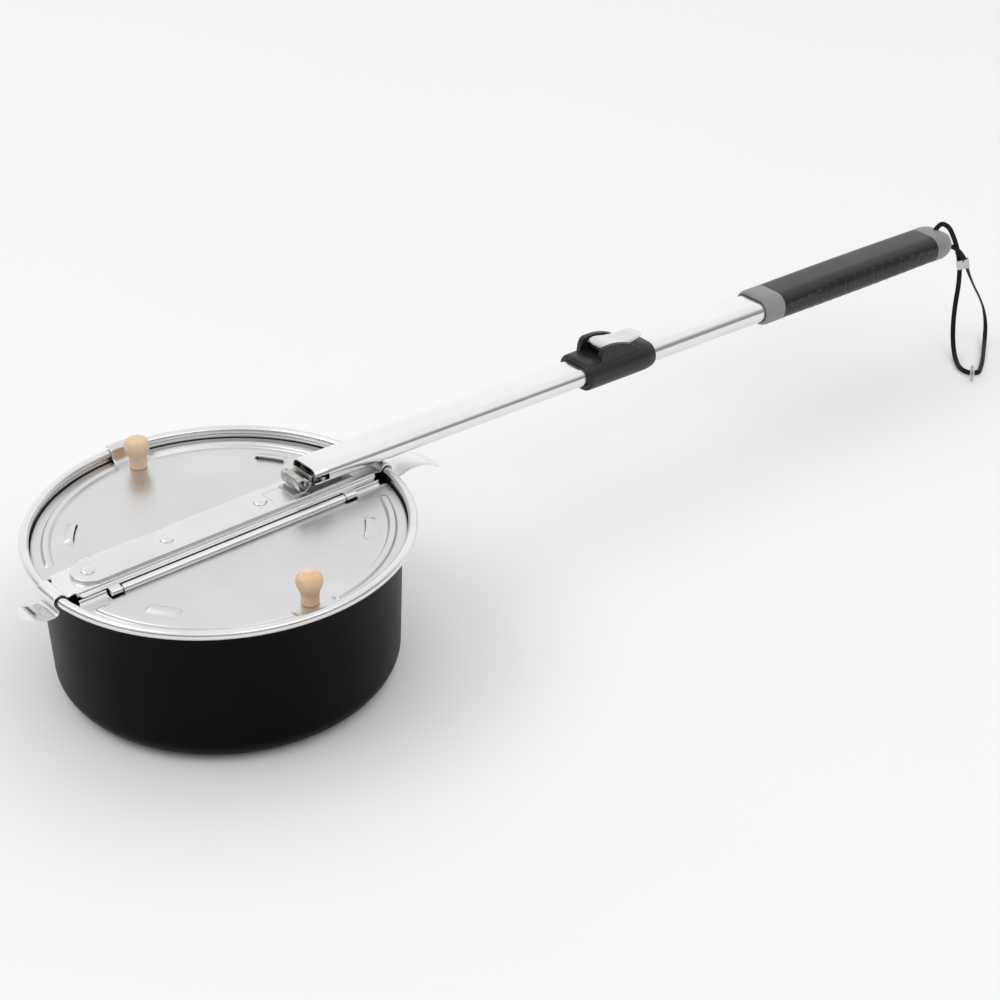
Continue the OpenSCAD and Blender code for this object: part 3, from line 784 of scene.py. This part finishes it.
bore_b = solid_temp("t_bore_b", loft_s([(OUTER_START, 13.9, 7.4, 6.9), (310, 13.9, 7.4, 6.9)]))
window = prism_temp("t_window", [(242.4, 5), (251.6, 5), (251.6, 12), (242.4, 12)], -5.6, 5.6)
pocket = prism_temp("t_pocket", [(229.5, 10.5), (231.5, 8.6), (262, 8.6), (265, 10.6), (272.5, 30),
    (229.5, 30)], -8.5, 8.5)


def boolean(o, other, op):
    md = o.modifiers.new("b", "BOOLEAN")
    md.operation = op
    md.object = other
    md.solver = "EXACT"


boolean(sleeve, block, "UNION")
for other in (bore_a, bore_b, pocket, window):
    boolean(sleeve, other, "DIFFERENCE")
md = sleeve.modifiers.new("r", "REMESH")
md.mode = "VOXEL"
md.voxel_size = LOCK_VOXEL * MM
md = sleeve.modifiers.new("s", "SMOOTH")
md.factor = 0.5
md.iterations = 3
dg = bpy.context.evaluated_depsgraph_get()
dg.update()
lock_me = bpy.data.meshes.new_from_object(sleeve.evaluated_get(dg))
for t in (sleeve, block, bore_a, bore_b, pocket, window):
    bpy.data.objects.remove(t, do_unlink=True)
lock_me.name = "lock_housing"
lock = bpy.data.objects.new("lock_housing", lock_me)
bpy.context.scene.collection.objects.link(lock)
lock_me.materials.clear()
lock_me.materials.append(M["plastic"])
lock_me.polygons.foreach_set("use_smooth", [True] * len(lock_me.polygons))
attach(lock, "handle_outer")
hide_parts("lock_body")

# ------------------------------------------------------------------ cam lever
LEVER_HALF = 8.0
LEVER_ROUND = 267  # the tip rounds off beyond here
LEVER_RIBS, LEVER_RIB_STEP = 8, 1.9
lever_top = [(238.6, 15.6), (238.8, 16.8), (240.0, 17.8), (242.5, 18.3), (246, 18.1), (250, 17.4),
    (254, 16.5), (258, 15.75), (262, 15.3), (266, 15.4), (270, 15.9), (273.5, 16.0), (276, 15.6),
    (278, 14.7)]
lever_bot = [(238.9, 13.7), (239.3, 12.8), (240.4, 11.3), (242.5, 9.4), (245.6, 8.8), (249.2, 11.0),
    (252.5, 12.1), (256.5, 12.5), (261.5, 12.6), (266, 13.2), (270, 13.7), (273.5, 14.0), (276, 14.1),
    (277.8, 14.1)]
rows = []
for (st, ht), (sb, hb) in zip(lever_top, lever_bot):
    half = LEVER_HALF
    if st > LEVER_ROUND:
        half = LEVER_HALF * math.sqrt(max(0.02, 1 - ((st - LEVER_ROUND) / 11.3) ** 2.2))
    e = min(0.8, (ht - hb) * 0.4)
    ring = []
    n = 10
    for k in range(n + 1):
        y = -half + e + (2 * half - 2 * e) * k / n
        dish = 0.35 * (1 - (y / max(half, 1)) ** 2)
        ring.append((st, y, ht - dish))
    ring += [(st, half - 0.3 * e, ht - 0.3 * e), (st * 0.9 + sb * 0.1, half, ht - e)]
    ring += [(sb * 0.9 + st * 0.1, half, hb + e), (sb, half - 0.3 * e, hb + 0.3 * e)]
    for k in range(n + 1):
        ring.append((sb, half - e - (2 * half - 2 * e) * k / n, hb))
    ring += [(sb, -half + 0.3 * e, hb + 0.3 * e), (sb * 0.9 + st * 0.1, -half, hb + e)]
    ring += [(st * 0.9 + sb * 0.1, -half, ht - e), (st, -half + 0.3 * e, ht - 0.3 * e)]
    rows.append([hp(*p) for p in ring])
pts, faces = capped(rows)
piece("cam_lever", pts, faces, "chrome", "lever", ["lock_lever"], smooth=45)
parts = []
for k in range(LEVER_RIBS):
    y = LEVER_RIB_STEP * (k - (LEVER_RIBS - 1) / 2)
    prof = [(-0.62, 0), (-0.45, -0.5), (0, -0.72), (0.45, -0.5), (0.62, 0)]
    rows = []
    for h, s, stand in ((14.3, 239.2, 0), (14.7, 238.95, 0.35), (16.3, 238.75, 0.7), (16.7, 239.1, 0)):
        rows.append([hp(s + d * stand, y + dy, h) for dy, d in prof])
    parts.append(grid(rows))
pts, faces = merge(*parts)
piece("lever_ribs", pts, faces, "chrome", "lever", smooth=50)

# ------------------------------------------------------------------ grip, collar and cap
def ring_dir(w, h, r, n):
    """Outline with outward unit normals."""
    pts = obround(w, h, r, n)
    out = []
    k = 0
    for cy, ch, a0 in ((w - r, h - r, 0), (-(w - r), h - r, 90), (-(w - r), -(h - r), 180),
            (w - r, -(h - r), 270)):
        for i in range(n + 1):
            a = math.radians(a0 + 90 * i / n)
            out.append((pts[k], (math.cos(a), math.sin(a))))
            k += 1
    return out


GRIP_A, GRIP_B = 406.5, 571.0
RIBS = 15
FIRST_RIB, LAST_RIB = 420.0, 560.0
RIB_STEP = (LAST_RIB - FIRST_RIB) / (RIBS - 1)
GRIP_STATIONS = 420


def groove(s, ny, nh):
    """Depth of the scalloped finger ribs on the grip's two sides."""
    if s < FIRST_RIB - RIB_STEP or s > LAST_RIB + RIB_STEP * 0.9:
        return 0.0
    k = (s - FIRST_RIB) / RIB_STEP
    f = k - math.floor(k)
    idx = math.floor(k)
    if idx < -1 or idx > RIBS - 1:
        return 0.0
    mid = 1 - abs(idx - (RIBS - 1) / 2) / ((RIBS - 1) / 2 + 1)
    top = 0.30 + 0.42 * smooth01(mid * 1.6)
    lim = top if nh > 0 else 0.93
    t = (lim - abs(nh)) / 0.16
    rounded = t - 1.1 * (2 * f - 1) ** 2 * (0.45 if nh > 0 else 0)
    mask = smooth01(rounded)
    cut = math.exp(-((f - 0.04) / 0.07) ** 2) + math.exp(-((f - 1.04) / 0.07) ** 2)
    scoop = 0.75 * (1 - f) ** 1.3
    return mask * (0.75 * cut + 1.35 * scoop * min(1, f / 0.10))


rows = []
for k in range(GRIP_STATIONS + 1):
    s = GRIP_A + (GRIP_B - GRIP_A) * k / GRIP_STATIONS
    barrel = 0.35 * math.sin(math.pi * (s - GRIP_A) / (GRIP_B - GRIP_A))
    row = []
    for (y, h), (ny, nh) in ring_dir(16.5, 10.4, 9.9, 16):
        d = barrel - groove(s, ny, nh)
        if k == 0 or k == GRIP_STATIONS:
            d -= 0.25
        row.append(hp(s, y + ny * d, h + nh * d))
    rows.append(row)
inner_a, inner_b = ([hp(end, y, h) for y, h in obround(14.2, 7.7, 7.2, 16)] for end in (GRIP_A, GRIP_B))
rows = [inner_a] + rows + [inner_b]
pts, faces = grid(rows, wrap_u=True)
piece("grip_rubber_sleeve", pts, faces, "rubber", "handle_outer", ["grip_sleeve"], smooth=60)

col = [(GRIP_A, 14.0, 7.5, 7.0), (GRIP_A, 16.3, 10.2, 9.7), (406.2, 16.55, 10.45, 9.95),
    (396, 16.6, 10.5, 10.0), (392, 16.55, 10.45, 9.95), (390, 16.2, 10.1, 9.6), (388.9, 15.7, 9.6, 9.1),
    (388.4, 15.0, 8.9, 8.4), (388.5, 14.5, 8.1, 7.6), (389.2, 14.1, 7.6, 7.1), (392, 13.95, 7.45, 6.95)]
pts, faces = grid(loft_s(col, 16), wrap_u=True)
piece("grip_collar_ring", pts, faces, "grey", "handle_outer", ["grip_collar"], smooth=50)

cap = [(GRIP_B, 14.0, 7.5, 7.0), (GRIP_B, 16.3, 10.2, 9.7), (571.4, 16.55, 10.45, 9.95)]
for k in range(0, 17):
    a = math.radians(90 * k / 16)
    s = 578.5 + 15 * math.sin(a)
    f = math.cos(a) ** 0.72 if k < 16 else 0.02
    w, h = max(0.3, 16.55 * (0.12 + 0.88 * f) if k < 16 else 0.6), max(0.25, 10.45 * f if k < 16 else 0.3)
    h = min(h, w)
    cap.append((s, w, h, min(h, w) * 0.95))
pts, faces = capped(loft_s(cap, 16), first=False)
piece("grip_end_dome", pts, faces, "grey", "handle_outer", ["end_cap"], smooth=50)

# ------------------------------------------------------------------ wrist strap
STRAP_MM = [(645, 0, 104), (648, -1, 109.5), (653, -2, 111.5), (659, -4, 107), (665, -5, 97),
            (669, -6, 87), (671.5, -7, 78), (673, -7.5, 69), (673, -8, 55), (672, -8, 40),
            (671.5, -8.5, 26), (670, -11, 13), (665.5, -17, 5), (658, -26, 2.6), (651, -36, 2.6),
            (650, -44.5, 2.6), (656, -49.5, 2.6), (665, -45, 2.6), (678, -36, 2.6), (691, -26, 2.6),
            (702, -17.5, 4), (708.5, -11.5, 12), (707, -9.5, 24), (700, -9.5, 37), (690, -10, 51),
            (681.5, -10.5, 64), (676, -10.5, 74), (672, -9.5, 82), (666, -7, 89), (660, -4, 92),
            (653, -1.5, 92.5)]
STRAP_SECTION = [(1.85, 0.15), (1.7, 0.36), (0.9, 0.45), (-0.9, 0.45), (-1.7, 0.36), (-1.85, 0.15),
                 (-1.85, -0.15), (-1.7, -0.36), (-0.9, -0.45), (0.9, -0.45), (1.7, -0.36), (1.85, -0.15)]
line = spline(STRAP_MM, 8)
ref = Vector((0.54, 0.66, -0.52)).normalized()
rows = []
for i, p in enumerate(line):
    t = (line[min(i + 1, len(line) - 1)] - line[max(i - 1, 0)]).normalized()
    u = t.cross(ref).normalized()
    v = t.cross(u)
    k = i / (len(line) - 1)
    tw = math.radians(12 + 58 * smooth01((k - 0.66) / 0.1) * 0.7 * (1 - smooth01((k - 0.8) / 0.1)))
    a, b = u * math.cos(tw) + v * math.sin(tw), v * math.cos(tw) - u * math.sin(tw)
    ring = [tuple(p + a * cx + b * cy) for cx, cy in STRAP_SECTION]
    rows.append(ring)
pts, faces = capped(rows)
strap = piece("wrist_strap", pts, faces, "web", "handle_outer", ["strap"], smooth=60)


cm = (Matrix.Translation(Vector((674, -9, 74.5))) @ Matrix.Rotation(math.radians(-39), 4, "Z")
      @ Matrix.Rotation(math.radians(-12), 4, "Y"))
outer = obround(4.9, 1.8, 1.5, 5)
inner = obround(4.4, 1.3, 1.0, 5)
rows = [[tuple(cm @ Vector((x, y, z))) for x, y in ring] for ring, z in
        ((outer, -3.7), (outer, 3.7), (inner, 3.9), (inner, -3.9))]
pts, faces = grid(rows, wrap_u=True, wrap_v=True)
crimp = piece("strap_crimp_sleeve", pts, faces, "steel", "handle_outer", ["strap_crimp"],
    smooth=50)

rm = (Matrix.Translation(Vector((646, -52, 6.4))) @ Matrix.Rotation(math.radians(51), 4, "Z")
      @ Matrix.Rotation(math.radians(90), 4, "X"))
WIRE_R = 0.75
rows = []
for k in range(48):
    a = 2 * math.pi * k / 48
    c = Vector((4.4 * math.cos(a), 5.6 * math.sin(a), 0))
    n = Vector((math.cos(a), math.sin(a), 0))
    rows.append([tuple(rm @ (c + n * WIRE_R * math.cos(b) + Vector((0, 0, WIRE_R * math.sin(b)))))
                 for b in [2 * math.pi * j / 12 for j in range(12)]])
pts, faces = grid(rows, wrap_u=True, wrap_v=True)
ring = piece("strap_end_ring", pts, faces, "steel", "handle_outer", ["strap_ring"],
    smooth=60)

# ------------------------------------------------------------------ carried-over CAD nodes
KEPT_NODES = {"hinge_rod_front": "steel", "hinge_rod_rear": "steel", "knob_screw_front": "steel",
              "knob_screw_rear": "steel", "tube_tongue": "steel", "tube_end_plug": "dark",
              "lever_pin": "steel", "brake_shoe": "dark"}
for name, mat in KEPT_NODES.items():
    mats = NODES[name].data.materials
    if len(mats):
        for i in range(len(mats)):
            mats[i] = M[mat]
    else:
        mats.append(M[mat])

# ------------------------------------------------------------------ floor
FLOOR_HALF = 6  # metres
FLOOR_Z = -0.0002  # just under the pan, so that the two faces never coincide
me = bpy.data.meshes.new("floor")
bm = bmesh.new()
bmesh.ops.create_grid(bm, x_segments=4, y_segments=4, size=FLOOR_HALF)
bm.to_mesh(me)
bm.free()
floor = bpy.data.objects.new("floor", me)
bpy.context.scene.collection.objects.link(floor)
fm, fnt, fs = new_mat("floor_pale")
fs.inputs["Roughness"].default_value = 0.9
fs.inputs["Specular IOR Level"].default_value = 0.05
fn = noise_tex(fnt, coords(fnt), 3, 2)
fnt.links.new(two_tone(fnt, fn, (0.93, 0.93, 0.93), (0.95, 0.95, 0.95)), fs.inputs["Base Color"])
floor.data.materials.append(fm)
floor.location.z = FLOOR_Z
